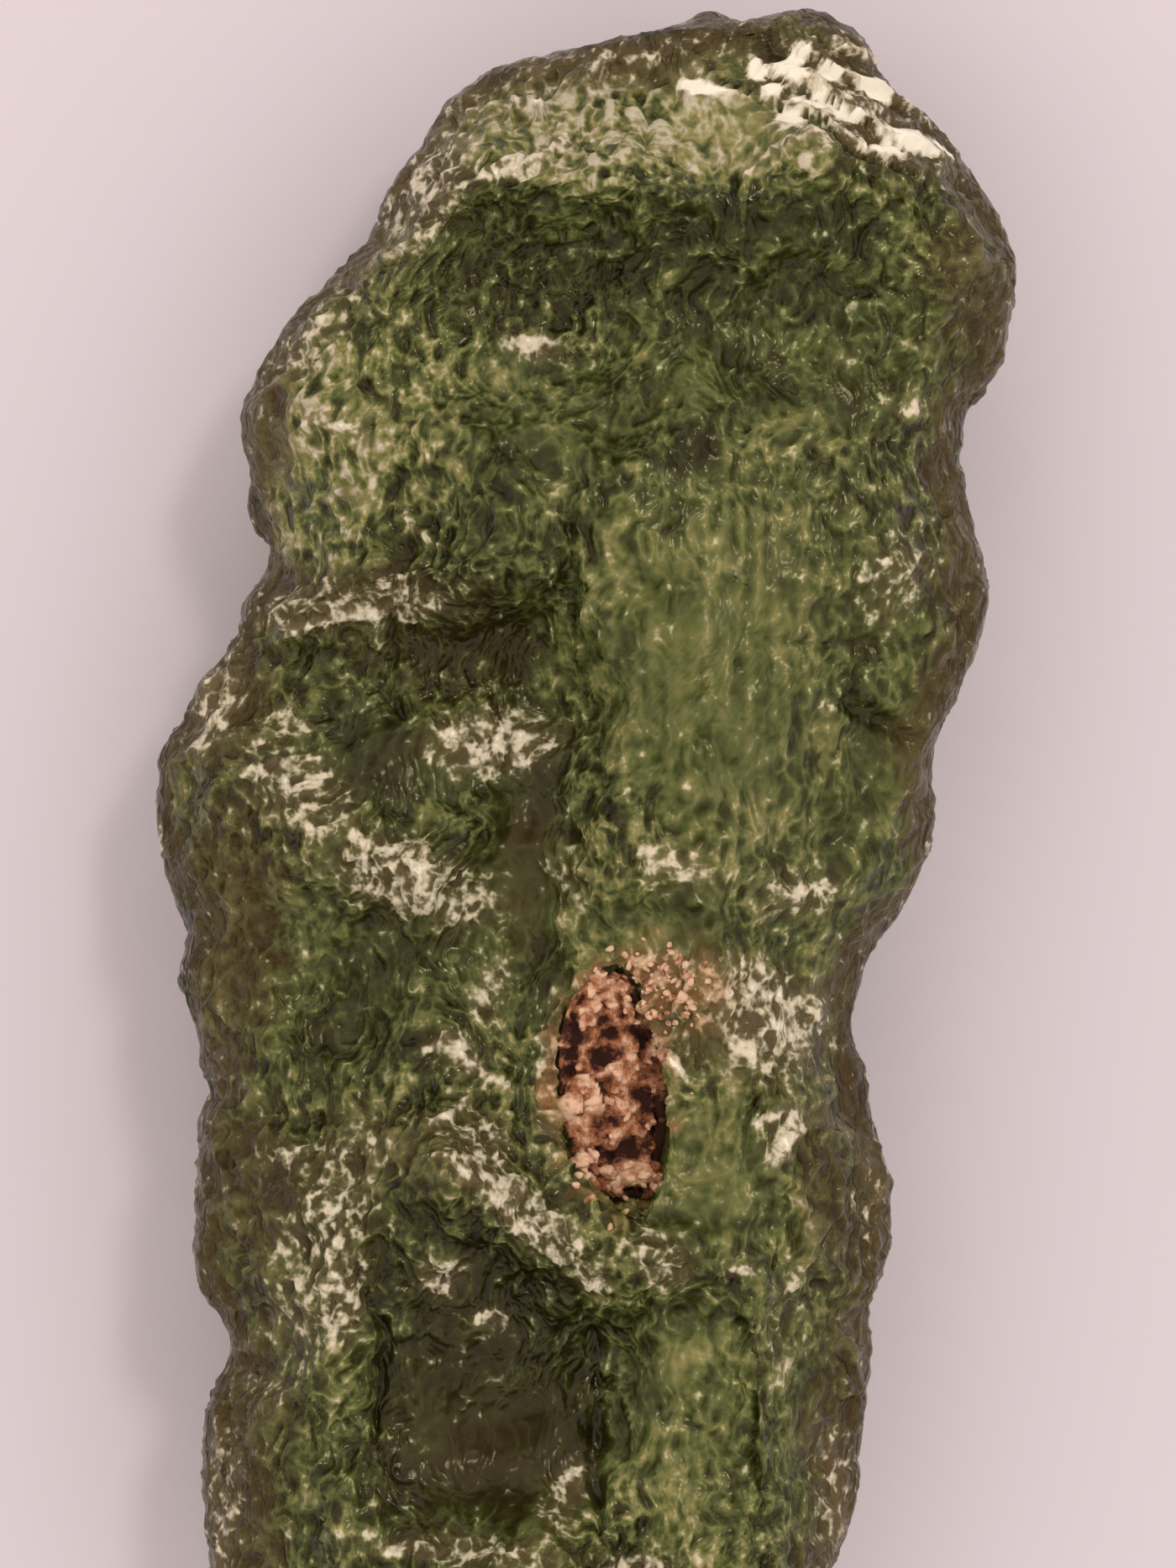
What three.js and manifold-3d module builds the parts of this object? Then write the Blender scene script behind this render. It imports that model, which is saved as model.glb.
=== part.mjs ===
// Moldavite: a long slab of natural green glass, etched all over by the ground it lay in,
// with brown soil packed in the one deep pit of its front face.
// Millimetres. +Z is up and is the front face, +Y runs along the stone, and the stone lies on its back.

import * as THREE from "three";
import { ImprovedNoise } from "three/addons/math/ImprovedNoise.js";
import { mergeVertices } from "three/addons/utils/BufferGeometryUtils.js";
import Module from "manifold-3d";

const wasm = await Module();
wasm.setup();

// Driving dimensions

const FRONT_RISE = 3.4; // from the rim up to the front face, before its relief
const BACK_DROP = 3.5; // from the rim down to the back
const SETTLED = 0.6; // how much of the back's lowest crests is worn off flat, where the stone lies
const SECTION_SQUARENESS = 2.7; // 2 is an ellipse, and more is a slab with blunt sides
const STEPS_ACROSS = 24;
const STEPS_ALONG = 57;
const STEPS_UP = 10;
const END_SHARE = 0.08; // how much of the length is the cap at each end

const PIT = {
  centre: new THREE.Vector3(0.52, -2.97, 6.15),
  radii: new THREE.Vector3(1.02, 2.3, 2.1),
  turn: THREE.MathUtils.degToRad(6),
};
const SOIL_CLEARANCE = 0.94; // the soil's radii as a share of the pit's
const SOIL_LEVEL = -0.35; // the soil's top, from the pit's centre

// Rim of the slab, seen from the front. Each row joins a point of the left edge to the point of the
// right edge across from it, as left x, left y, right x, right y, from the top end to the bottom end.
// The photograph cuts the stone off at y = -12, and the rows past that are a worn end like the top one.
const TOP_TIP = [2.8, 16.85];
const BOTTOM_TIP = [-1.2, -17.1];
const RIM = [
  [2.12, 17.11, 3.81, 17.11],
  [1.09, 16.62, 4.23, 17.2],
  [-0.3, 16.42, 4.75, 16.89],
  [-1.28, 16.14, 5.34, 16.52],
  [-1.98, 15.86, 5.64, 15.75],
  [-2.75, 15.09, 6.27, 15.16],
  [-3.09, 14.53, 6.95, 14.48],
  [-3.8, 13.62, 7.45, 13.55],
  [-4.08, 12.72, 8.0, 12.44],
  [-5.12, 11.67, 7.97, 11.77],
  [-5.67, 11.05, 7.84, 11.09],
  [-6.03, 10.36, 7.66, 10.22],
  [-6.3, 9.8, 7.27, 9.83],
  [-6.44, 9.17, 7.09, 9.33],
  [-6.09, 8.27, 6.97, 8.42],
  [-5.89, 7.56, 7.16, 7.47],
  [-5.67, 6.86, 7.47, 6.5],
  [-6.3, 6.17, 7.5, 5.95],
  [-6.38, 5.61, 7.41, 5.42],
  [-7.08, 4.62, 6.97, 4.34],
  [-7.48, 3.94, 6.66, 3.8],
  [-7.98, 3.23, 6.45, 3.08],
  [-7.94, 2.09, 6.55, 2.12],
  [-7.69, 0.67, 6.31, 0.94],
  [-7.41, 0.02, 5.64, -0.03],
  [-7.61, -0.86, 5.16, -1.08],
  [-7.3, -1.7, 5.05, -2.06],
  [-7.14, -2.8, 5.31, -2.83],
  [-6.97, -3.05, 5.3, -3.28],
  [-7.22, -3.36, 5.44, -3.67],
  [-7.22, -4.38, 5.75, -4.69],
  [-7.31, -5.78, 5.7, -6.06],
  [-7.25, -6.73, 5.38, -6.89],
  [-6.64, -7.34, 5.3, -7.42],
  [-6.47, -7.66, 5.3, -7.81],
  [-6.81, -8.28, 5.38, -8.16],
  [-7.11, -9.11, 5.12, -9.38],
  [-7.14, -10.16, 5.09, -10.31],
  [-7.06, -11.45, 4.84, -11.33],
  [-6.92, -12.34, 4.33, -12.27],
  [-6.53, -13.44, 3.78, -13.36],
  [-5.83, -14.53, 3.05, -14.45],
  [-4.73, -15.47, 1.98, -15.47],
  [-3.41, -16.25, 0.73, -16.33],
  [-2.16, -16.8, -0.36, -16.88],
];

// Broad swells and hollows of the front face: centre, half sizes, turn in degrees, and rise.
const FRONT_WANDER = 0.45; // how far slow noise pushes these forms and the lines below off their places
const FRONT_FORMS = [
  { name: "bevel at the top end", at: [2.6, 15.6], half: [5.0, 1.7], turn: -6, rise: -1.1 },
  { name: "shaded hollow below the bevel", at: [1.9, 11.2], half: [4.6, 2.0], turn: 0, rise: -1.3 },
  { name: "lobe on the left", at: [-4.6, 9.0], half: [1.9, 2.1], turn: 0, rise: 0.6 },
  { name: "hollow under the left crest", at: [-3.4, 4.7], half: [2.7, 1.3], turn: -8, rise: -1.2 },
  { name: "smooth dark hollow", at: [-3.5, 3.1], half: [1.5, 1.0], turn: 0, rise: -0.4 },
  { name: "long swell on the right", at: [2.6, 4.6], half: [3.0, 4.6], turn: 8, rise: 0.8 },
  { name: "green hollow on the left", at: [-4.2, -1.0], half: [2.1, 1.9], turn: 20, rise: -1.1 },
  { name: "swell right of the pit", at: [3.0, -2.6], half: [1.6, 2.4], turn: 0, rise: 0.35 },
  { name: "shoulder on the lower left", at: [-4.7, -6.2], half: [1.3, 2.2], turn: 10, rise: 0.7 },
  { name: "dark hollow near the bottom", at: [-2.1, -9.1], half: [2.5, 2.1], turn: 0, rise: -1.3 },
  { name: "green hollow near the bottom", at: [1.6, -8.8], half: [1.5, 2.4], turn: 0, rise: -0.9 },
  { name: "swell at the bottom end", at: [-1.0, -14.0], half: [3.4, 1.8], turn: 0, rise: 0.45 },
];

// Crests and valleys that run across the front face: the line they follow, half width and rise.
const FRONT_LINES = [
  {
    name: "crest along the bevel",
    path: [[-3.2, 12.9], [-2.1, 13.5], [0.1, 13.4], [2.4, 13.0], [4.6, 14.1], [6.6, 14.0]],
    half: 0.9,
    rise: 1.1,
  },
  {
    name: "shelf above the bevel",
    path: [[2.4, 15.6], [4.4, 15.2], [6.2, 14.9]],
    half: 0.6,
    rise: 0.6,
  },
  {
    name: "crest from the top end to the left lobe",
    path: [[-2.2, 14.6], [-3.6, 12.4], [-4.0, 10.6]],
    half: 0.7,
    rise: 0.5,
  },
  {
    name: "crest under the left lobe",
    path: [[-6.0, 6.2], [-3.4, 6.3], [-0.9, 7.1]],
    half: 0.8,
    rise: 1.0,
  },
  {
    name: "valley along the middle",
    path: [[-0.6, 7.4], [-0.8, 5.0], [-1.0, 2.6], [-1.3, -0.6]],
    half: 0.9,
    rise: -1.0,
  },
  {
    name: "crest from the left edge to the middle",
    path: [[-7.0, 3.2], [-5.4, 1.8], [-3.0, 0.9], [-1.9, 1.6]],
    half: 0.9,
    rise: 0.9,
  },
  {
    name: "crest below the long swell",
    path: [[0.8, 1.6], [2.4, 0.9], [4.1, 0.8], [5.9, 0.3]],
    half: 0.7,
    rise: 0.45,
  },
  {
    name: "crest right of the pit",
    path: [[2.1, -0.8], [3.2, -1.6], [3.8, -3.0], [3.5, -4.2]],
    half: 0.7,
    rise: 0.6,
  },
  {
    name: "ledge from the left notch",
    path: [[-7.2, -3.2], [-5.3, -3.5], [-3.5, -3.6]],
    half: 0.6,
    rise: -0.8,
  },
  {
    name: "crest of the lower left shoulder",
    path: [[-5.7, -3.9], [-4.7, -5.9], [-5.3, -8.4]],
    half: 0.7,
    rise: 0.5,
  },
  {
    name: "crest below the pit",
    path: [[-3.5, -3.7], [-1.5, -4.7], [0.1, -6.3], [1.6, -6.0]],
    half: 0.8,
    rise: 1.0,
  },
  {
    name: "valley between the bottom hollows",
    path: [[0.2, -7.0], [0.3, -9.6], [0.6, -11.4]],
    half: 0.6,
    rise: -0.7,
  },
  {
    name: "crest right of the bottom hollows",
    path: [[2.8, -5.5], [3.2, -7.2], [2.9, -8.4], [3.2, -9.7], [4.1, -11.7]],
    half: 0.6,
    rise: 0.6,
  },
  {
    name: "crest under the dark hollow",
    path: [[-4.3, -10.9], [-2.2, -11.5], [0.0, -10.9]],
    half: 0.7,
    rise: 0.8,
  },
];

// Etched cups that cover the whole stone: their spacing and depth.
const CUP_SIZES = [
  { spacing: 3.0, depth: 1.5 },
  { spacing: 1.7, depth: 0.5 },
];
const CUP_STRETCH = new THREE.Vector3(1, 0.7, 1); // the cups run a little along the stone
const CUP_SHARE = { front: 0.65, side: 0.65, back: 1 }; // how deep the cups are on each side
const CUP_WANDER = 0.9; // how far slow noise pushes the cups out of their lattice
const CREST_LEVEL = 0.55; // the squared distance to a seed, in cells, at which nothing is etched away
const RIM_KEPT = 1.3; // mm above and below the rim over which the cups fade out, so that the rim stays

const smooth = new ImprovedNoise();

// A repeatable number from 0 to 1 for each cell of a lattice.
function cellRandom(i, j, k, salt) {
  const wave = Math.sin(i * 127.1 + j * 311.7 + k * 74.7 + salt * 53.3) * 43758.5453;
  return wave - Math.floor(wave);
}

// Squared distance to the nearest seed, in cells, where each cell of a cubic lattice holds one seed.
function seedDistanceSquared(point, salt) {
  const [i0, j0, k0] = [point.x, point.y, point.z].map(Math.floor);
  let nearest = Infinity;
  for (let i = i0 - 1; i <= i0 + 1; i++) {
    for (let j = j0 - 1; j <= j0 + 1; j++) {
      for (let k = k0 - 1; k <= k0 + 1; k++) {
        const dx = i + cellRandom(i, j, k, salt) - point.x;
        const dy = j + cellRandom(i, j, k, salt + 1) - point.y;
        const dz = k + cellRandom(i, j, k, salt + 2) - point.z;
        nearest = Math.min(nearest, dx * dx + dy * dy + dz * dz);
      }
    }
  }
  return nearest;
}

// Height of the etched cups at a point: bowls round the seeds, with sharp crests where two bowls meet.
function cupHeight(point) {
  const wander = new THREE.Vector3(
    smooth.noise(point.x / 3, point.y / 3, point.z / 3),
    smooth.noise(point.x / 3 + 9, point.y / 3, point.z / 3),
    smooth.noise(point.x / 3, point.y / 3 + 9, point.z / 3),
  ).multiplyScalar(CUP_WANDER);
  let height = 0;
  CUP_SIZES.forEach(({ spacing, depth }, size) => {
    const cell = point.clone().add(wander).multiply(CUP_STRETCH).divideScalar(spacing);
    height += depth * (seedDistanceSquared(cell, size * 10) - CREST_LEVEL);
  });
  return height;
}

// A smooth rise of height 1 that is nearly gone at q = 2.
const bump = (q) => Math.exp(-q * q);

function formHeight({ at, half, turn, rise }, x, y) {
  const away = new THREE.Vector2(x - at[0], y - at[1]);
  away.rotateAround(new THREE.Vector2(), -THREE.MathUtils.degToRad(turn));
  return rise * bump(Math.hypot(away.x / half[0], away.y / half[1]));
}

function distanceToPath(path, x, y) {
  const point = new THREE.Vector3(x, y, 0);
  const nearest = new THREE.Vector3();
  let least = Infinity;
  for (let i = 1; i < path.length; i++) {
    const stretch = new THREE.Line3(
      new THREE.Vector3(...path[i - 1], 0),
      new THREE.Vector3(...path[i], 0),
    );
    stretch.closestPointToPoint(point, true, nearest);
    least = Math.min(least, nearest.distanceTo(point));
  }
  return least;
}

function frontRelief(x, y) {
  const wanderedX = x + FRONT_WANDER * smooth.noise(x / 1.7, y / 1.7, 7.5);
  const wanderedY = y + FRONT_WANDER * smooth.noise(x / 1.7, y / 1.7, 2.5);
  let height = 0;
  for (const form of FRONT_FORMS) height += formHeight(form, wanderedX, wanderedY);
  for (const { path, half, rise } of FRONT_LINES) {
    height += rise * bump(distanceToPath(path, wanderedX, wanderedY) / half);
  }
  return height;
}

// The two edges and the line midway between them, as curves from the top end to the bottom end.
function rimCurves() {
  const left = RIM.map(([x, y]) => new THREE.Vector3(x, y, 0));
  const right = RIM.map(([, , x, y]) => new THREE.Vector3(x, y, 0));
  for (const edge of [left, right]) {
    edge.unshift(new THREE.Vector3(...TOP_TIP, 0));
    edge.push(new THREE.Vector3(...BOTTOM_TIP, 0));
  }
  const middle = left.map((point, i) => point.clone().lerp(right[i], 0.5));
  return [left, right, middle].map((edge) => {
    const curve = new THREE.CatmullRomCurve3(edge, false, "catmullrom", 0.5);
    curve.arcLengthDivisions = 2000;
    return curve;
  });
}

// How thick the slab is at a chord of the rim, from 0 at the tips to about 1 along the middle.
function fullness(chord) {
  const full = 11; // mm, a chord past which the slab keeps its thickness
  return Math.pow(Math.min(1, chord / full), 0.55);
}

// Spreads the steps of a cube's face so that they come out even once the cube is rounded.
const evened = (step) => Math.tan((step * Math.PI) / 4);

// The point of the unit section, a squarish ellipse, that lies in the direction of x and z.
function sectionPoint(x, z) {
  const point = new THREE.Vector2(evened(x), evened(z));
  const [reachX, reachZ] = [point.x, point.y].map((v) => Math.pow(Math.abs(v), SECTION_SQUARENESS));
  return point.divideScalar(Math.max(Math.pow(reachX + reachZ, 1 / SECTION_SQUARENESS), Number.EPSILON));
}

// How far along the stone a point of the cube goes, from 0 at the top tip to 1 at the bottom tip.
function shareAlong({ x, y, z }) {
  const fromTip = END_SHARE * Math.max(Math.abs(x), Math.abs(z));
  if (y >= 1) return fromTip;
  if (y <= -1) return 1 - fromTip;
  return THREE.MathUtils.lerp(END_SHARE, 1 - END_SHARE, (1 - y) / 2);
}

// The slab before it is etched: a cube whose four sides become the sections across the stone, and
// whose top and bottom become the caps at its two ends.
function plainSlab() {
  const [left, right, middle] = rimCurves();
  const geometry = new THREE.BoxGeometry(2, 2, 2, STEPS_ACROSS, STEPS_ALONG, STEPS_UP);
  const position = geometry.attributes.position;
  const cube = new THREE.Vector3();
  const l = new THREE.Vector3();
  const r = new THREE.Vector3();
  for (let i = 0; i < position.count; i++) {
    cube.fromBufferAttribute(position, i);
    const t = middle.getUtoTmapping(shareAlong(cube));
    left.getPoint(t, l);
    right.getPoint(t, r);
    const { x: across, y: up } = sectionPoint(cube.x, cube.z);
    const point = l.clone().lerp(r, (across + 1) / 2);
    const depth = (up > 0 ? FRONT_RISE : BACK_DROP) * fullness(l.distanceTo(r));
    const rimLevel = 0.6 * smooth.noise(point.x / 8, point.y / 8, 4.5);
    const relief = up > 0 ? up * up * frontRelief(point.x, point.y) : 0;
    position.setXYZ(i, point.x, point.y, rimLevel + up * depth + relief);
  }
  return welded(geometry);
}

// The same surface with its shared vertices merged, and only positions left on it.
function welded(geometry) {
  geometry.deleteAttribute("normal");
  geometry.deleteAttribute("uv");
  return mergeVertices(geometry, 1e-4);
}

// Presses the etched cups into the slab, along its normals, and leaves its rim as it is.
function etch(geometry) {
  geometry.computeVertexNormals();
  const { position, normal } = geometry.attributes;
  const point = new THREE.Vector3();
  const out = new THREE.Vector3();
  for (let i = 0; i < position.count; i++) {
    point.fromBufferAttribute(position, i);
    out.fromBufferAttribute(normal, i);
    const facing = THREE.MathUtils.smoothstep(Math.abs(out.z), 0, 0.6);
    const faceShare = out.z > 0 ? CUP_SHARE.front : CUP_SHARE.back;
    const offRim = THREE.MathUtils.smoothstep(Math.abs(point.z), 0, RIM_KEPT);
    const share = offRim * THREE.MathUtils.lerp(CUP_SHARE.side, faceShare, facing);
    point.addScaledVector(out, share * cupHeight(point));
    position.setXYZ(i, point.x, point.y, point.z);
  }
  geometry.deleteAttribute("normal");
}

// Wears the back flat where it would touch the ground, and sets that flat at z = 0.
function settle(geometry) {
  geometry.computeBoundingBox();
  const { min, max } = geometry.boundingBox;
  const ground = min.z + SETTLED;
  const position = geometry.attributes.position;
  for (let i = 0; i < position.count; i++) {
    position.setZ(i, Math.max(position.getZ(i), ground));
  }
  geometry.translate(-(min.x + max.x) / 2, -(min.y + max.y) / 2, -ground);
}

// The pit's outline, or the soil's in it: a lumpy egg, as a share of the pit's radii.
function pitEgg(share) {
  const geometry = welded(new THREE.SphereGeometry(1, 18, 14));
  const position = geometry.attributes.position;
  const direction = new THREE.Vector3();
  const lump = 0.16;
  for (let i = 0; i < position.count; i++) {
    direction.fromBufferAttribute(position, i);
    const wobble = smooth.noise(direction.x * 1.8 + 3, direction.y * 1.8, direction.z * 1.8);
    direction.multiplyScalar(share * (1 + lump * wobble)).multiply(PIT.radii);
    direction.applyAxisAngle(new THREE.Vector3(0, 0, 1), PIT.turn).add(PIT.centre);
    position.setXYZ(i, direction.x, direction.y, direction.z);
  }
  return geometry;
}

function solidOf(geometry) {
  return new wasm.Manifold(
    new wasm.Mesh({
      numProp: 3,
      vertProperties: new Float32Array(geometry.attributes.position.array),
      triVerts: new Uint32Array(geometry.index.array),
    }),
  );
}

function geometryOf(solid) {
  const { vertProperties, triVerts } = solid.getMesh();
  const geometry = new THREE.BufferGeometry();
  geometry.setAttribute("position", new THREE.BufferAttribute(vertProperties, 3));
  geometry.setIndex(new THREE.BufferAttribute(triVerts, 1));
  geometry.computeVertexNormals();
  return geometry;
}

function stoneGeometry() {
  const slab = plainSlab();
  etch(slab);
  settle(slab);
  return geometryOf(solidOf(slab).subtract(solidOf(pitEgg(1))));
}

// A block whose crumbly top, dipping to the lower right, is the level that the soil fills the pit to.
function soilLevelBlock() {
  const { x, y, z } = PIT.radii.clone().multiplyScalar(2.5);
  const geometry = welded(new THREE.BoxGeometry(x, y, z, 8, 14, 1));
  const position = geometry.attributes.position;
  for (let i = 0; i < position.count; i++) {
    if (position.getZ(i) < 0) continue;
    const crumb = 0.3 * smooth.noise(position.getX(i) * 2.2, position.getY(i) * 2.2, 1.5);
    const dip = 0.18 * position.getX(i) - 0.06 * position.getY(i);
    position.setZ(i, z / 2 + crumb - dip);
  }
  return geometry.translate(PIT.centre.x, PIT.centre.y, PIT.centre.z + SOIL_LEVEL - z / 2);
}

function soilGeometry() {
  return geometryOf(solidOf(pitEgg(SOIL_CLEARANCE)).intersect(solidOf(soilLevelBlock())));
}

const glass = new THREE.MeshStandardMaterial({ color: "#5d6b42", roughness: 0.25, metalness: 0 });
const soil = new THREE.MeshStandardMaterial({ color: "#a8704e", roughness: 0.95, metalness: 0 });

const stone = new THREE.Mesh(stoneGeometry(), glass);
stone.name = "moldavite";
const plug = new THREE.Mesh(soilGeometry(), soil);
plug.name = "pit_soil";

const moldavite = new THREE.Group();
moldavite.add(stone, plug);

export default moldavite;
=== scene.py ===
"""A moldavite: a long etched slab of natural green glass, with brown soil in its one deep pit.

The stone lies on its back on a plain pale floor, and the camera looks straight down on its front face.
"""

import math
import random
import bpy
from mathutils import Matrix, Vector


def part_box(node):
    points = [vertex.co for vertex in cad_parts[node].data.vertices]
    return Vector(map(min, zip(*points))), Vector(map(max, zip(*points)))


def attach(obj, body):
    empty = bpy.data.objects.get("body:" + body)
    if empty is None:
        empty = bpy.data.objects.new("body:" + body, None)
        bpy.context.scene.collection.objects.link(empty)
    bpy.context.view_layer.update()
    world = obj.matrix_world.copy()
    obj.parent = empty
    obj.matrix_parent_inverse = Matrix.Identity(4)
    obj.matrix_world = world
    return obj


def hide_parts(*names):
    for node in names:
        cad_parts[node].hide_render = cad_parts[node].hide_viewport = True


bl_info = {
    "name": "Moldavite",
    "version": (1, 0, 0),
    "blender": (4, 5, 0),
    "location": "3D View > Sidebar > Moldavite",
    "description": "Builds an etched piece of moldavite with soil in its pit",
    "category": "Object",
}

import bmesh
import bpy
from bpy.props import FloatProperty, FloatVectorProperty, IntProperty, PointerProperty
from mathutils import Matrix, Vector, noise
from mathutils.bvhtree import BVHTree

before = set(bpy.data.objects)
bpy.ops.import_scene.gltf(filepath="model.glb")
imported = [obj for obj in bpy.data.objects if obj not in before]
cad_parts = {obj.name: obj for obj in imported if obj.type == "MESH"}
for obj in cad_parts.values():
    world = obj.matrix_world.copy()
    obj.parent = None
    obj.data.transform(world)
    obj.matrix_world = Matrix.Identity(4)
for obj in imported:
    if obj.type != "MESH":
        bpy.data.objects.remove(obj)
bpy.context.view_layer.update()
STONE_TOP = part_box("moldavite")[1][2]
SOIL_LOW, SOIL_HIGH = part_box("pit_soil")

MM = 0.001

# The photograph shows the stone at 64 pixels to the millimetre. Places on the front face are in
# millimetres from the middle of the stone, x to the right and y towards the bevelled top end.
PHOTO_PIXELS = (1400, 1866)
PIXELS_PER_MM = 64.0
PHOTO_ORIGIN = (698, 1100)  # the pixel that shows x = 0, y = 0
RIM_LEVEL = 3.0  # mm above the floor, the level at which the photograph's scale holds

NOISE_SEED = 1  # without one, the vector noise starts from the clock and each run looks different

# In metres: the camera's height above that level, and the key light from the middle of the stone.
CAMERA_HEIGHT = 0.12
KEY_PLACE = (0.1, 0.12, 0.26)

# How many lie on a millimetre of each fine pattern. Real frost and silt are finer still, and are
# drawn as coarse as it takes to show.
FROST_GRAINS = 3.8
CURLED_CRESTS = 3.0
SOIL_GRIT = 5.2

UNDERSIDE = -0.3  # a face whose normal's z is below this is on the underside

# Sizes of the relief of the front, in millimetres.
SHELF_WIDTH = 0.55
SHELF_RISE = 0.3
FLOW_LINE_RISE = 0.07
FROST_CUP_SPACING = 0.3
FROST_CUP_DEPTH = 0.14
GLINT_RISE = 0.02

# Frosted patches: x, y, half length, half width, turn in degrees, strength. Where the strength is above the
# glint level, the patch is a flat ledge painted white as a highlight, a painted glint.
PAINTED_GLINT = 1.0
FROST_PATCHES = {
    "shelves at the top right": (4.8, 15.0, 2.1, 1.0, -25, 0.6),
    "glint on the lip": (2.1, 15.33, 0.55, 0.13, -8, 1.9),
    "first round glint": (3.1, 15.67, 0.17, 0.2, 0, 1.9),
    "second round glint": (3.9, 15.98, 0.27, 0.18, 20, 1.9),
    "third round glint": (3.75, 15.65, 0.38, 0.2, -25, 1.9),
    "fourth round glint": (3.4, 15.3, 0.25, 0.14, 10, 1.8),
    "fifth round glint": (4.45, 15.65, 0.26, 0.17, 20, 1.9),
    "curled glint": (5.35, 15.4, 0.36, 0.22, -15, 1.7),
    "long glint on the shelf": (4.35, 14.93, 0.75, 0.12, -18, 1.9),
    "glint under it": (3.7, 14.75, 0.28, 0.17, -15, 1.9),
    "small glint between": (4.3, 15.18, 0.22, 0.09, -30, 1.7),
    "largest glint": (6.1, 14.33, 0.72, 0.2, -16, 1.9),
    "glint below the largest": (5.5, 14.13, 0.4, 0.13, -3, 1.9),
    "slope at the top left": (-3.0, 13.4, 1.2, 0.8, 50, 0.85),
    "lip under the top left": (-1.45, 13.7, 0.7, 0.16, 5, 1.0),
    "lip along the top": (2.06, 15.3, 0.65, 0.14, -8, 1.0),
    "spot on the bevel": (-0.45, 14.2, 0.5, 0.18, 10, 0.7),
    "top edge": (-0.1, 15.7, 2.6, 0.5, 12, 0.45),
    "top tip": (5.1, 16.1, 0.6, 0.45, 60, 0.6),
    "glints below the bevel": (-1.06, 10.6, 0.6, 0.25, -10, 0.9),
    "edge of the left lobe": (-5.1, 10.7, 1.1, 0.5, 40, 0.65),
    "streak on the left lobe": (-4.5, 9.2, 0.9, 0.25, -15, 0.5),
    "crest under the left lobe": (-4.2, 5.95, 2.1, 0.45, 4, 0.7),
    "left rim streak": (-6.8, 4.1, 1.0, 0.4, 65, 0.95),
    "spot inside the left rim": (-5.4, 3.75, 0.4, 0.25, -30, 0.9),
    "patch above the valley": (-1.7, 3.35, 1.2, 0.55, 5, 0.95),
    "long band, upper part": (-5.2, 2.5, 1.25, 0.65, -40, 0.95),
    "long band, lower part": (-3.2, 0.9, 1.6, 0.7, -22, 0.95),
    "left of the valley": (-1.75, -1.2, 0.6, 0.35, 70, 0.7),
    "speckles near the right rim": (5.65, 6.3, 0.9, 0.65, 70, 0.6),
    "dot on the right": (4.4, 4.0, 0.16, 0.12, 0, 0.9),
    "below the long swell": (1.6, 1.1, 0.9, 0.4, -12, 0.72),
    "right end below the swell": (3.9, 0.65, 0.85, 0.45, 0, 0.72),
    "left of the swell's foot": (-0.3, 0.9, 0.3, 0.9, 5, 0.5),
    "right of the pit": (3.1, -1.6, 1.25, 0.95, -35, 0.95),
    "hook right of the pit": (3.5, -3.8, 0.45, 0.35, 60, 0.75),
    "left lip of the pit": (-0.62, -2.6, 1.3, 0.28, 88, 0.85),
    "sandy crumbs above the pit": (1.2, -0.75, 1.2, 0.35, 8, 0.8),
    "strings right of the pit": (1.75, -2.0, 0.9, 0.3, -60, 0.6),
    "loop left of the pit": (-2.3, -2.3, 0.6, 0.35, -40, 0.62),
    "above the band below the pit": (-1.9, -3.9, 0.7, 0.45, -50, 0.8),
    "band below the pit": (-1.2, -5.0, 1.9, 0.45, -42, 0.92),
    "end of that band": (0.1, -6.3, 0.35, 0.3, 0, 0.95),
    "spot in the dark hollow": (-2.6, -6.3, 0.5, 0.42, 30, 0.92),
    "second spot there": (-1.75, -7.1, 0.35, 0.25, 0, 0.75),
    "below the pit": (1.35, -5.9, 0.7, 0.5, -40, 0.8),
    "streak right of it": (2.85, -6.2, 0.35, 0.12, 0, 0.85),
    "lower left shoulder": (-4.8, -5.9, 2.1, 0.85, 75, 0.72),
    "heart of that shoulder": (-4.4, -6.7, 0.95, 0.5, 80, 1.0),
    "top of that shoulder": (-4.7, -4.1, 1.2, 0.3, 5, 0.6),
    "foot of that shoulder": (-5.7, -8.45, 0.35, 0.18, -20, 0.8),
    "ridge under the dark hollow": (-2.1, -11.2, 2.3, 0.25, -3, 0.75),
    "right of that ridge": (-0.4, -10.4, 0.7, 0.4, 55, 0.7),
    "foot of the green hollow": (0.9, -11.7, 1.0, 0.35, 10, 0.75),
    "lower left rim": (-6.7, -10.8, 1.5, 0.3, 85, 0.65),
    "lower right rim": (4.5, -10.6, 1.5, 0.35, 95, 0.5),
    "ridges on the lower right": (3.6, -7.1, 1.2, 0.45, 80, 0.45),
    "right rim below the pit": (5.3, -4.7, 1.0, 0.35, 85, 0.45),
    "spot near the upper right": (6.0, 9.5, 0.45, 0.14, 15, 0.7),
    "worn end, left": (-3.8, -14.2, 1.3, 0.5, 35, 0.8),
    "worn end, right": (1.3, -14.4, 1.1, 0.45, -30, 0.75),
    "worn end, tip": (-1.4, -15.9, 1.4, 0.35, 5, 0.7),
}
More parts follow.
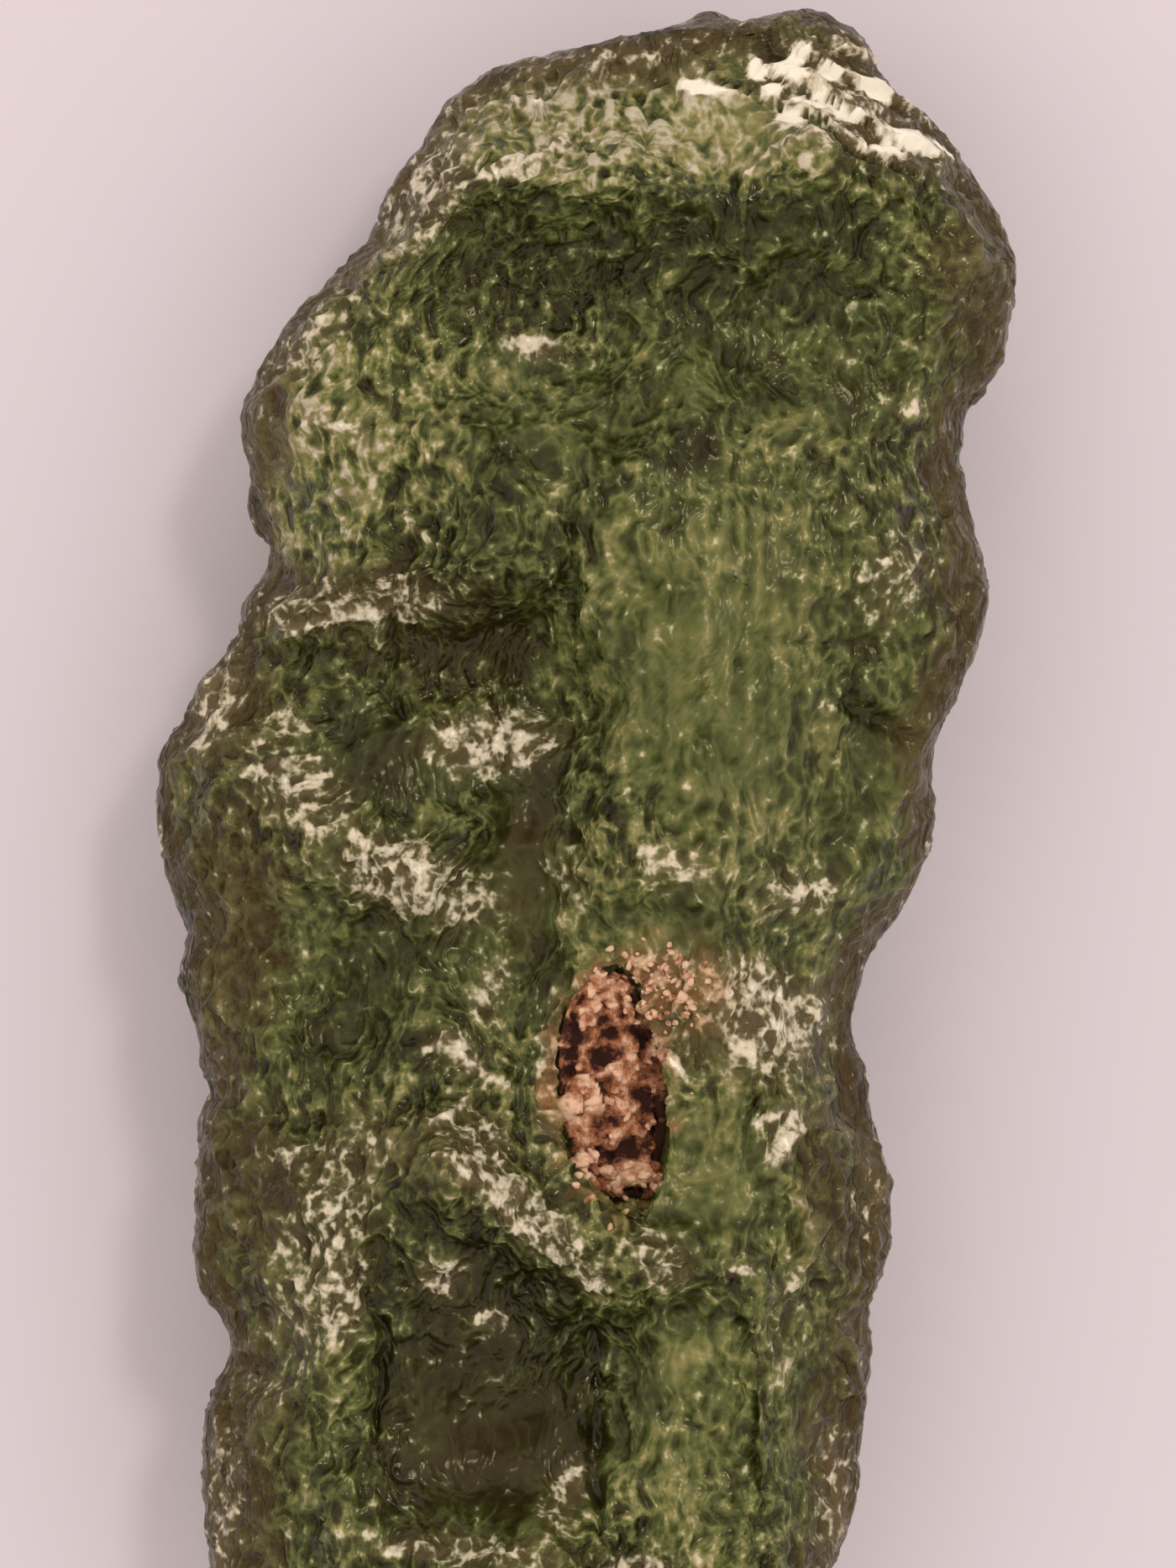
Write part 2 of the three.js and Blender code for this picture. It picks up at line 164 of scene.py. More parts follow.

# Lighter and darker glass, partly the glass's own colour and partly painted light and shade: the bevel and
# the long swell are painted lighter where they face the light, and the hollows and cracks darker as shade. x,
# y, half length, half width, turn, and how much lighter.
TONE_LIGHT_AND_SHADE_PATCHES = {
    "bevel": (0.9, 14.6, 3.6, 1.1, -2, 0.9),
    "dark round the glints": (5.0, 15.0, 1.9, 1.0, -25, -0.8),
    "hollow below the bevel": (1.9, 12.2, 4.6, 0.9, 0, -0.5),
    "green hollow": (1.8, 10.0, 4.2, 1.6, 0, -0.05),
    "green window at the top": (-0.6, 9.2, 1.3, 1.1, 0, 0.2),
    "dark spot in it": (2.0, 8.6, 0.5, 0.35, 60, -0.7),
    "left lobe": (-4.8, 9.0, 1.7, 1.9, 0, 0.6),
    "dark crack under the lobe": (-1.9, 5.6, 1.3, 0.9, -30, -0.55),
    "hollow under the crest": (-3.8, 4.9, 2.4, 0.9, -6, -0.4),
    "valley along the middle": (-1.1, 3.0, 0.6, 3.8, 3, -0.4),
    "long swell": (2.4, 5.0, 2.3, 3.4, 8, 0.25),
    "foot of the swell": (1.8, 1.0, 2.6, 1.6, 0, 0.15),
    "smooth dark window": (-3.4, 3.0, 1.3, 0.7, 0, -0.35),
    "green hollow on the left": (-4.3, -0.9, 1.9, 1.5, 20, -0.15),
    "dark ledge on the left": (-5.6, -4.6, 1.4, 0.9, 0, -0.45),
    "dark hollow below the pit": (-2.0, -6.4, 2.0, 0.9, -20, -0.6),
    "dark hollow near the bottom": (-2.0, -9.2, 2.2, 1.8, 0, -0.7),
    "green hollow near the bottom": (1.7, -8.7, 1.2, 2.2, 0, 0.2),
    "dark foot": (0.8, -11.6, 1.0, 0.5, 0, -0.6),
    "lower left rim": (-6.3, -10.0, 2.6, 0.8, 88, -0.35),
    "lower right rim": (4.7, -9.5, 2.5, 0.7, 88, -0.2),
    "swell right of the pit": (2.7, -4.6, 1.0, 1.2, 0, 0.15),
}

# Smoother glass, less etched than the rest: x, y, half length, half width, turn, and how smooth.
CALM_PATCHES = {
    "long swell": (2.4, 4.8, 2.3, 3.4, 6, 0.9),
    "valley along the middle": (-1.1, 2.0, 0.7, 3.0, 3, 0.8),
    "smooth dark window": (-3.4, 3.0, 1.3, 0.7, 0, 0.85),
    "green window at the top": (-0.6, 9.3, 1.9, 1.2, 0, 0.55),
    "right of that window": (3.2, 10.0, 2.8, 1.4, 0, 0.6),
    "right side": (4.6, 3.6, 2.0, 5.0, 0, 0.5),
    "left of the pit": (-1.5, -0.9, 1.0, 1.4, 0, 0.4),
    "foot of the swell": (1.5, 0.2, 1.5, 1.0, 0, 0.6),
    "green hollow on the left": (-4.2, -0.9, 2.1, 1.5, 20, 0.5),
    "right below the pit": (2.3, -4.6, 1.0, 1.4, 0, 0.75),
    "dark hollow near the bottom": (-1.8, -9.3, 1.8, 1.6, 0, 0.9),
    "green hollow near the bottom": (1.7, -8.7, 1.0, 2.0, 0, 0.55),
    "middle of the bevel": (2.4, 14.5, 1.3, 0.6, 0, 0.45),
    "lower right swell": (4.0, -9.0, 0.7, 2.0, 0, 0.4),
}

# Browner, weathered skin: x, y, half length, half width, turn, and how brown.
SKIN_PATCHES = {
    "broad left rim": (-6.7, 0.2, 2.6, 1.1, 88, 0.85),
    "left rim above it": (-6.7, 4.0, 1.3, 0.9, 60, 0.8),
    "ledge under the left lobe": (-4.7, 6.1, 1.9, 0.7, 0, 0.7),
    "crack in the middle": (-2.5, 5.3, 1.8, 1.2, 0, 0.4),
    "lower left rim": (-6.3, -10.0, 2.8, 0.9, 88, 0.85),
    "ledge left of the lower shoulder": (-6.2, -4.7, 1.6, 0.9, 88, 0.75),
    "right of the pit, low": (4.8, -4.6, 1.9, 0.9, 88, 0.8),
    "lower right rim": (4.7, -9.5, 2.5, 0.7, 88, 0.65),
    "right shoulder": (7.2, 12.0, 2.0, 0.8, 85, 0.8),
    "round the glints": (5.3, 15.2, 1.7, 1.0, -30, 0.9),
    "top edge": (1.1, 16.0, 2.3, 0.5, 8, 0.8),
    "upper left slope": (-3.1, 13.6, 1.8, 0.7, 60, 0.65),
    "valley": (-1.1, 0.8, 1.6, 0.5, 88, 0.5),
    "above the dark hollow": (-3.2, -3.9, 1.6, 0.7, 0, 0.5),
    "right of the pit": (3.0, -1.8, 1.4, 1.0, -35, 0.45),
    "dark hollow near the bottom": (-1.8, -9.3, 1.7, 1.5, 0, 0.35),
}

# Crevices in the soil, sunk into it and painted dark as shade: x, y, half length, half width, turn, and how
# deep.
SOIL_CREVICES = {
    "crescent at the right, upper part": (1.22, -3.2, 0.42, 0.17, -38, 0.9),
    "crescent at the right, lower part": (1.45, -3.85, 0.5, 0.16, 80, 0.9),
    "band across the foot": (0.7, -4.13, 0.45, 0.12, 10, 0.8),
    "under the last lump": (0.8, -4.85, 0.35, 0.12, 12, 0.8),
    "hole in the middle": (0.25, -3.5, 0.24, 0.12, 0, 0.8),
    "left edge": (-0.3, -2.5, 0.5, 0.12, 70, 0.7),
    "crack near the top": (0.48, -1.93, 0.35, 0.1, 15, 0.6),
}

# Clay that lies on the glass: x, y, half length, half width, turn, strength.
CLAY_PATCHES = {"above the right side of the pit": (1.45, -1.2, 1.15, 0.85, 20, 1.1)}

# The ring of clay round the pit, and the sand on that patch, in millimetres from the pit's middle.
CLAY_RING = (1.2, 2.35)
SPILT_SAND = (0.85, 1.85)
SPILT_SAND_SPREAD = (0.45, 0.3)
SPILT_SAND_SHARE = 0.6  # of the loose grains. The rest lie round the edge of the soil

# Fine ridges and cracks of the front face: the points they run through, half width and rise.
FINE_LINES = {
    "loop left of the pit": (
        [(-2.9, -2.2), (-2.6, -1.95), (-2.3, -2.3), (-1.8, -2.7), (-1.3, -2.9)], 0.1, 0.16
    ),
    "string right of the pit": ([(0.9, -1.2), (1.2, -1.8), (1.7, -2.6)], 0.09, 0.16),
    "string over the right of the pit": ([(0.9, -0.6), (1.6, -0.5), (1.9, -1.0), (1.5, -1.6)], 0.08, 0.12),
    "eye on the bevel": (
        [(-2.1, 14.9), (-1.4, 15.1), (-0.7, 14.9), (-0.4, 14.4), (-0.8, 13.9), (-1.9, 13.7)], 0.1, 0.13
    ),
    "branch on the bevel": ([(0.95, 15.2), (1.1, 14.7), (1.2, 14.2)], 0.07, -0.14),
    "side branch": ([(1.6, 15.1), (1.15, 14.7)], 0.06, -0.12),
    "string on the left lobe": ([(-5.0, 9.2), (-4.4, 9.1), (-3.6, 8.7)], 0.08, 0.12),
    "string below the lobe": ([(-4.6, 8.0), (-3.4, 7.6), (-2.6, 6.9)], 0.09, 0.12),
    "string under the crest": ([(-5.4, 5.4), (-4.2, 5.7), (-3.1, 5.6)], 0.09, 0.12),
    "string above it": ([(-2.9, -3.5), (-2.3, -3.3), (-1.9, -2.95)], 0.09, 0.12),
    "hook right of the pit": ([(3.1, -3.5), (3.7, -3.3), (3.9, -3.8), (3.4, -4.3)], 0.12, 0.18),
    "crack below the green hollow": ([(0.8, -7.3), (1.3, -7.0), (1.9, -6.9)], 0.08, -0.3),
    "crack on the right": ([(2.7, -7.2), (3.2, -8.2), (2.9, -9.4), (3.3, -10.2)], 0.09, -0.32),
    "crack in the middle": ([(0.1, -7.4), (0.25, -8.6), (0.1, -9.8), (0.4, -11.0)], 0.1, -0.3),
    "crack on the lower left": ([(-4.1, -6.2), (-3.6, -7.4), (-3.9, -9.2)], 0.09, -0.25),
    "crack above the left patch": ([(-3.6, 5.6), (-3.7, 4.4), (-3.4, 3.9)], 0.1, -0.25),
    "line on the swell": ([(2.9, 6.2), (2.8, 5.3), (2.75, 4.6)], 0.05, -0.14),
    "second line on the swell": ([(2.1, 5.0), (2.0, 4.2)], 0.05, -0.12),
    "cross line on the swell": ([(2.9, 5.35), (4.2, 5.1), (5.6, 5.15)], 0.06, -0.14),
    "left line on the swell": ([(-0.3, 7.2), (-0.2, 5.6), (0.3, 2.6)], 0.08, -0.16),
    "shard edge on the bevel": ([(2.9, 13.6), (3.5, 14.1), (4.1, 14.4)], 0.1, 0.16),
    "ledge from the left notch": ([(-7.1, -3.2), (-5.4, -3.5), (-3.9, -3.3)], 0.12, -0.12),
    "dark mark on the right": ([(4.8, 4.1), (5.6, 3.7), (6.0, 3.4)], 0.16, -0.3),
}


def linear(hex_colour):
    """An sRGB hex colour as linear red, green and blue."""
    channels = [int(hex_colour[i : i + 2], 16) / 255 for i in (1, 3, 5)]
    return [c / 12.92 if c <= 0.04045 else ((c + 0.055) / 1.055) ** 2.4 for c in channels]


def colour_property(name, hex_colour, description):
    return FloatVectorProperty(
        name=name, description=description, default=linear(hex_colour), subtype="COLOR", size=3, min=0, max=1
    )


def length_property(name, millimetres, description):
    return FloatProperty(name=name, description=description, default=millimetres * MM, unit="LENGTH")


class MoldaviteStone(bpy.types.PropertyGroup):
    # Cracks, Bowls, Glass and Crests run from dark to pale with the relief: partly the glass's own colour,
    # partly painted shade in cracks and bowls and painted light on crests.
    crack: colour_property("Cracks", "#2B2611", "Glass in cracks and the deepest bowls")
    deep: colour_property("Bowls", "#5A5626", "Glass in the etched bowls")
    tint: colour_property("Glass", "#93A563", "Glass between the bowls and the crests")
    crest: colour_property("Crests", "#CCC888", "Glass on the etched crests")
    # Frost grains are partly frosted glass and partly painted sparkle of light on its facets.
    frost: colour_property("Frost", "#F4EEDC", "Grains of frost")
    # Glints: a painted highlight, white laid on the flat ledges in place of the light they would reflect.
    glint: colour_property("Glints", "#FFFFF6", "Flat ledges that catch the light")
    haze: colour_property("Haze", "#8E8163", "Fine frost between those grains")
    skin: colour_property("Skin", "#604830", "Weathered skin that browns the edges of the stone")
    # The outline colour paints the dark line of shade along the very edge of the stone.
    edge: colour_property("Outline", "#2A2119", "Skin where it turns away at the very edge")
    stain: colour_property("Stain", "#9A7650", "Clay stain round the pit")
    dusted: colour_property("Dusted frost", "#E6C8A8", "Grains of frost with clay on them")
    sheen: colour_property("Sheen", "#E2DCC0", "Tint of the reflections on the etched surface")
    depth: colour_property("Depth", "#BCD697", "Colour of the light that passes through the glass")
    density: FloatProperty(
        name="Density", description="How fast the glass takes up the light, per metre", default=170.0, min=0
    )
    ior: FloatProperty(
        name="Index of refraction", description="Natural silica glass has 1.48 to 1.51", default=1.49, min=1
    )
    cup_spacing: length_property("Cup spacing", 0.95, "Spacing of the small etched cups")
    cup_depth: length_property("Cup depth", 0.17, "Depth of the small etched cups")
    groove_spacing: length_property("Groove spacing", 0.5, "Spacing of the fine etched grooves")
    groove_depth: length_property("Groove depth", 0.12, "Depth of the fine etched grooves")


class MoldaviteSoil(bpy.types.PropertyGroup):
    light: colour_property("Dry soil", "#E6C4AC", "Sand grains and dry lumps")
    middle: colour_property("Clay", "#A36B4B", "Clay between the grains")
    # Crevices: painted shade, the near-black colour the soil takes where it lies lowest.
    dark: colour_property("Crevices", "#34120A", "Deep damp crevices")
    grains: IntProperty(
        name="Grains", description="Tries to lay a sand grain on the soil", default=170, min=0
    )
    loose_grains: IntProperty(
        name="Loose grains", description="Tries to lay one on the glass round the pit", default=150, min=0
    )
    grain_size: length_property("Grain size", 0.2, "Mean width of a sand grain")


class MoldaviteStage(bpy.types.PropertyGroup):
    floor: colour_property("Floor", "#DFDDF1", "Plain pale floor")
    sky: colour_property("Sky", "#FFEEDD", "Colour of the soft light, and of the key light")
    low_sky: colour_property("Low sky", "#95826A", "Colour of the soft light from near the floor")
    top_sky: colour_property("Top of the sky", "#655238", "Colour of the soft light from straight above")
    sky_strength: FloatProperty(
        name="Sky strength", description="Strength of the soft light", default=1.18, min=0
    )
    key_strength: FloatProperty(
        name="Key", description="Power of the key light", default=0.15, min=0, unit="POWER"
    )
    key_size: length_property("Key width", 50.0, "Width of the key light")


def node(tree, kind, inputs=None, **settings):
    """Adds a node with its settings, and sets or links its inputs by name or number."""
    made = tree.nodes.new(kind)
    for key, value in settings.items():
        setattr(made, key, value)
    for key, value in (inputs or {}).items():
        if isinstance(value, bpy.types.NodeSocket):
            tree.links.new(value, made.inputs[key])
        else:
            made.inputs[key].default_value = value
    return made


def new_material(name):
    material = bpy.data.materials.new(name)
    material.use_nodes = True
    material.node_tree.nodes.clear()
    return material, material.node_tree


def opaque(colour):
    """A colour with the alpha that sockets and ramps ask for."""
    return (*colour, 1.0)


def colour_ramp(tree, share, stops):
    """A ramp of colours by position, which follows a share from 0 to 1."""
    ramp = node(tree, "ShaderNodeValToRGB", {"Fac": share})
    first, last = ramp.color_ramp.elements
    (first.position, first.color), *between, (last.position, last.color) = [(p, opaque(c)) for p, c in stops]
    for position, colour in between:
        ramp.color_ramp.elements.new(position).color = colour
    return ramp.outputs["Color"]


def glass_material(settings):
    """Natural silica glass, etched by soil acids: green and see-through, with a satin surface that is paler
    and milky on its crests, and frosted in grains where the crests lie close together. The paleness of the
    crests and the dark of cracks and bowls are partly painted light and shade, the flat ledges are painted
    white as glints, and the brightest frost grains as sparkle."""
    material, tree = new_material("etched_natural_glass")
    place = node(tree, "ShaderNodeTexCoord").outputs["Object"]
    frost, skin, stain, tone_and_shade, rough = (
        node(tree, "ShaderNodeAttribute", attribute_name=name).outputs["Fac"]
        for name in ("frost", "skin", "stain", "tone_and_shade", "rough")
    )
    mottle = node(
        tree, "ShaderNodeTexNoise",
        {"Vector": place, "Scale": FROST_GRAINS / MM, "Detail": 2.0, "Roughness": 0.6},
    ).outputs["Fac"]
    # Thin curling crests, drawn out along the stone, lie where this noise crosses its middle.
    flow = node(tree, "ShaderNodeAttribute", attribute_name="flow").outputs["Vector"]
    curls = node(
        tree, "ShaderNodeTexNoise",
        {"Vector": flow, "Scale": CURLED_CRESTS / MM, "Detail": 1.5, "Roughness": 0.6},
    ).outputs["Fac"]
    curls = node(tree, "ShaderNodeMath", {0: curls, 1: 0.5}, operation="SUBTRACT").outputs[0]
    curls = node(tree, "ShaderNodeMath", {0: curls}, operation="ABSOLUTE").outputs[0]

    # From the dark of a crack to the milk of a crest: the lightness of the place, broken up by both noises.
    # The glass's own colour is mixed with painted shade in the bowls and cracks and painted light on the
    # crests and lit slopes.
    fine = node(tree, "ShaderNodeMath", {0: mottle, 1: 1.3, 2: -0.41}, operation="MULTIPLY_ADD").outputs[0]
    fine = node(tree, "ShaderNodeMath", {0: curls, 1: -3.1, 2: fine}, operation="MULTIPLY_ADD").outputs[0]
    level = node(tree, "ShaderNodeMath", {0: fine, 1: rough, 2: tone_and_shade}, operation="MULTIPLY_ADD").outputs[0]
    base = colour_ramp(tree, level, (
        (0.0, settings.crack),
        (0.25, settings.deep),
        (0.52, settings.tint),
        (0.8, settings.crest),
        (1.0, settings.frost),
    ))
    # Brown skin, darkening towards the outline into a painted dark line of shade at the edge.
    edge = colour_ramp(tree, skin, ((0.6, settings.skin), (1.0, settings.edge)))

    # Frost grains: none where frost is 0, and most of the surface where it is 1. The grains are partly
    # frosted glass and partly painted sparkle; the largest are painted white as sparks of light, and those
    # near the pit have clay on them.
    grains = node(tree, "ShaderNodeMath", {0: curls, 1: -1.5, 2: mottle}, operation="MULTIPLY_ADD").outputs[0]
    grains = node(tree, "ShaderNodeMath", {0: frost, 1: 0.37, 2: grains}, operation="MULTIPLY_ADD").outputs[0]
    painted_sparks = node(
        tree, "ShaderNodeMapRange", {"Value": grains, "From Min": 0.87, "From Max": 0.96}
    ).outputs["Result"]
    grains = node(
        tree, "ShaderNodeMapRange", {"Value": grains, "From Min": 0.56, "From Max": 0.82},
        interpolation_type="SMOOTHSTEP",
    ).outputs["Result"]
    dust = node(tree, "ShaderNodeMath", {0: stain, 1: 2.0}, operation="MULTIPLY", use_clamp=True).outputs[0]
    crumbs = node(
        tree, "ShaderNodeMix", {0: dust, 6: opaque(settings.frost), 7: opaque(settings.dusted)},
        data_type="RGBA",
    ).outputs[2]
    haze = node(tree, "ShaderNodeMath", {0: frost, 1: 0.85}, operation="MULTIPLY", use_clamp=True).outputs[0]
    # Painted glints: white on the flat ledges where the frost note passes the glint level, with the painted
    # sparks added.
    glints = node(
        tree, "ShaderNodeMapRange", {"Value": frost, "From Min": PAINTED_GLINT, "From Max": 1.6}
    ).outputs["Result"]
    glints = node(tree, "ShaderNodeMath", {0: glints, 1: painted_sparks}, operation="ADD", use_clamp=True).outputs[0]
    rim = node(
        tree, "ShaderNodeMapRange", {"Value": skin, "From Max": 0.55, "To Max": 0.85}
    ).outputs["Result"]

    # Dark glass lets the most light in. Each layer on it covers a share of it and lets less in.
    clear = node(
        tree, "ShaderNodeMapRange",
        {"Value": level, "From Min": 0.4, "From Max": 1.0, "To Min": 0.88, "To Max": 0.4},
    ).outputs["Result"]
    for share, colour, let_in in (
        (rim, edge, 0.55),
        (haze, opaque(settings.haze), 0.38),
        (stain, opaque(settings.stain), 0.3),
        (grains, crumbs, 0.2),
        # The painted glints: a white highlight that lets no light in.
        (glints, opaque(settings.glint), 0.0),
    ):
        base = node(tree, "ShaderNodeMix", {0: share, 6: base, 7: colour}, data_type="RGBA").outputs[2]
        clear = node(tree, "ShaderNodeMix", {0: share, 2: clear, 3: let_in}).outputs[0]

    roughness = node(
        tree, "ShaderNodeMapRange",
        {"Value": mottle, "From Min": 0.35, "From Max": 0.65, "To Min": 0.2, "To Max": 0.07},
    ).outputs["Result"]
    roughness = node(tree, "ShaderNodeMix", {0: rough, 2: 0.27, 3: roughness}).outputs[0]
    bump = node(
        tree, "ShaderNodeBump", {"Height": curls, "Strength": rough, "Distance": 0.35 * MM}, invert=True
    ).outputs["Normal"]
    shader = node(tree, "ShaderNodeBsdfPrincipled", {
        "Base Color": base,
        "Transmission Weight": clear,
        "Roughness": roughness,
        "Normal": bump,
        "IOR": settings.ior,
        "Specular IOR Level": 0.2,
        "Specular Tint": opaque(settings.sheen),
    })
    depth = node(
        tree, "ShaderNodeVolumeAbsorption", {"Color": opaque(settings.depth), "Density": settings.density}
    )
    output = node(tree, "ShaderNodeOutputMaterial", {"Surface": shader.outputs["BSDF"]})
    tree.links.new(depth.outputs["Volume"], output.inputs["Volume"])
    return material


def soil_material(settings):
    """Fine sand in dried clay: matte, pale on its lumps and nearly black in its crevices; the colour follows
    the height of the crumbs, so the black is painted shade.
    """
    material, tree = new_material("dried_sandy_clay")
    place = node(tree, "ShaderNodeTexCoord").outputs["Object"]
    rise = node(tree, "ShaderNodeAttribute", attribute_name="rise").outputs["Fac"]
    grit = node(
        tree, "ShaderNodeTexNoise",
        {"Vector": place, "Scale": SOIL_GRIT / MM, "Detail": 4.0, "Roughness": 0.65},
    ).outputs["Fac"]
    speckle = node(
        tree, "ShaderNodeMapRange",
        {"Value": grit, "From Min": 0.3, "From Max": 0.7, "To Min": -0.3, "To Max": 0.3},
    ).outputs["Result"]
    level = node(tree, "ShaderNodeMath", {0: speckle, 1: rise}, operation="ADD").outputs[0]
    colour = colour_ramp(tree, level, ((0.15, settings.dark), (0.45, settings.middle), (0.8, settings.light)))
    bump = node(
        tree, "ShaderNodeBump", {"Height": grit, "Strength": 0.8, "Distance": 0.08 * MM}
    ).outputs["Normal"]
    shader = node(
        tree, "ShaderNodeBsdfPrincipled", {"Base Color": colour, "Roughness": 0.9, "Normal": bump}
    )
    node(tree, "ShaderNodeOutputMaterial", {"Surface": shader.outputs["BSDF"]})
    return material


def smooth_step(value, low, high):
    """Rises smoothly from 0 at low to 1 at high."""
    share = min(1.0, max(0.0, (value - low) / (high - low)))
    return share * share * (3 - 2 * share)


def patch_weight(patch, x, y):
    """How strongly a patch covers a point of the front face, from 1 in its middle to 0 well outside."""
    centre_x, centre_y, half_length, half_width, turn, _ = patch
    angle = math.radians(turn)
    dx, dy = x - centre_x, y - centre_y
    along = (dx * math.cos(angle) + dy * math.sin(angle)) / half_length
    across = (dy * math.cos(angle) - dx * math.sin(angle)) / half_width
    reach = along * along + across * across
    return math.exp(-reach * reach * 0.7) if reach < 3 else 0.0


def distance_to_line(points, x, y):
    """How far a point lies from a line of straight pieces."""
    least = math.inf
    for (ax, ay), (bx, by) in zip(points, points[1:]):
        dx, dy = bx - ax, by - ay
        share = ((x - ax) * dx + (y - ay) * dy) / (dx * dx + dy * dy)
        share = min(1.0, max(0.0, share))
        least = min(least, math.hypot(x - ax - share * dx, y - ay - share * dy))
    return least


def cups(place, spacing):
    """Etched bowls with sharp crests between them: about -0.4 in a bowl and 0.6 on a crest."""
    nearest = noise.voronoi(place / spacing)[0][0]
    return nearest * nearest * 1.4 - 0.4


def write_attribute(mesh, name, values, kind="FLOAT"):
    layer = mesh.attributes.new(name, kind, "POINT")
    layer.data.foreach_set("vector" if kind == "FLOAT_VECTOR" else "value", values)


def fine_copy(source, name, cuts, rounds):
    """A merged and finely divided copy of a CAD node's mesh, with its facets smoothed away. Its
    underside, which isn't seen, is divided less."""
    mesh = source.data.copy()
    mesh.name = name
    mesh.materials.clear()
    work = bmesh.new()
    work.from_mesh(mesh)
    bmesh.ops.remove_doubles(work, verts=work.verts, dist=0.0005 * MM)
    work.normal_update()
    seen, under = [], []
    for edge in work.edges:
        (seen if any(f.normal.z > UNDERSIDE for f in edge.link_faces) else under).append(edge)
    bmesh.ops.subdivide_edges(work, edges=under, cuts=1, use_grid_fill=True)
    seen = [e for e in seen if e.is_valid]
    bmesh.ops.subdivide_edges(work, edges=seen, cuts=cuts, use_grid_fill=True)
    bmesh.ops.triangulate(work, faces=work.faces)
    for _ in range(rounds):
        bmesh.ops.smooth_vert(
            work, verts=work.verts, factor=0.5, use_axis_x=True, use_axis_y=True, use_axis_z=True
        )
    for face in work.faces:
        face.smooth = True
    work.to_mesh(mesh)
    work.free()
    for old in [a.name for a in mesh.attributes if not a.is_internal and not a.is_required]:
        mesh.attributes.remove(mesh.attributes[old])
    piece = bpy.data.objects.new(name, mesh)
    bpy.context.scene.collection.objects.link(piece)
    return piece


def front_relief(x, y):
    """Fine ridges, cracks and shelves of the front face, in millimetres."""
    wander = noise.noise_vector(Vector((x / 0.8, y / 0.8, 3.0))) * 0.12
    x, y = x + wander.x, y + wander.y
    height = 0.0
    for points, half, rise in FINE_LINES.values():
        away = distance_to_line(points, x, y) / half
        if away < 2.5:
            height += rise * math.exp(-away * away)
    shelves = patch_weight(FROST_PATCHES["shelves at the top right"], x, y)
    if shelves > 0.02:
        # Thin shelves that step down towards the top right edge.
        turn = math.radians(28)
        run = (x * math.sin(turn) + y * math.cos(turn)) / SHELF_WIDTH
        run += 0.5 * noise.noise(Vector((x / 1.2, y / 1.2, 8.0)))
        height += shelves * SHELF_RISE * (0.5 - (run - math.floor(run)))
    return height


def striations(x, y):
    """Fine flow lines along the stone, on the long swell and near the lower edges, in millimetres."""
    weight = patch_weight(TONE_LIGHT_AND_SHADE_PATCHES["long swell"], x, y)
    weight += smooth_step(abs(x + 1.0), 4.6, 5.8) * smooth_step(-y, 7.0, 9.0)
    if weight < 0.02:
        return 0.0
    return FLOW_LINE_RISE * weight * noise.noise(Vector((x / 0.16, y / 1.5, 5.0)))


def strings(place, spacing):
    """Thin curling crests along the lines where a noise is zero: 1 on a crest, -1 between them."""
    return 1 - 2 * min(1.0, abs(noise.noise(place / spacing)) * 3.6)


def outline_margin(mesh):
    """A function that gives how far in millimetres a point lies inside the stone's outline, as seen
    from above."""
    rows, columns = {}, {}
    per_mm = 4
    for vertex in mesh.vertices:
        x, y = vertex.co.x / MM, vertex.co.y / MM
        for table, key, value in ((rows, round(y * per_mm), x), (columns, round(x * per_mm), y)):
            low, high = table.get(key, (value, value))
            table[key] = (min(low, value), max(high, value))

    def margin(x, y):
        left, right = rows[round(y * per_mm)]
        low, high = columns[round(x * per_mm)]
        return min(x - left, right - x, y - low, high - y)

    return margin


def most(patches, x, y):
    """The strongest of a set of patches at a point of the front face."""
    return max(patch[5] * patch_weight(patch, x, y) for patch in patches.values())


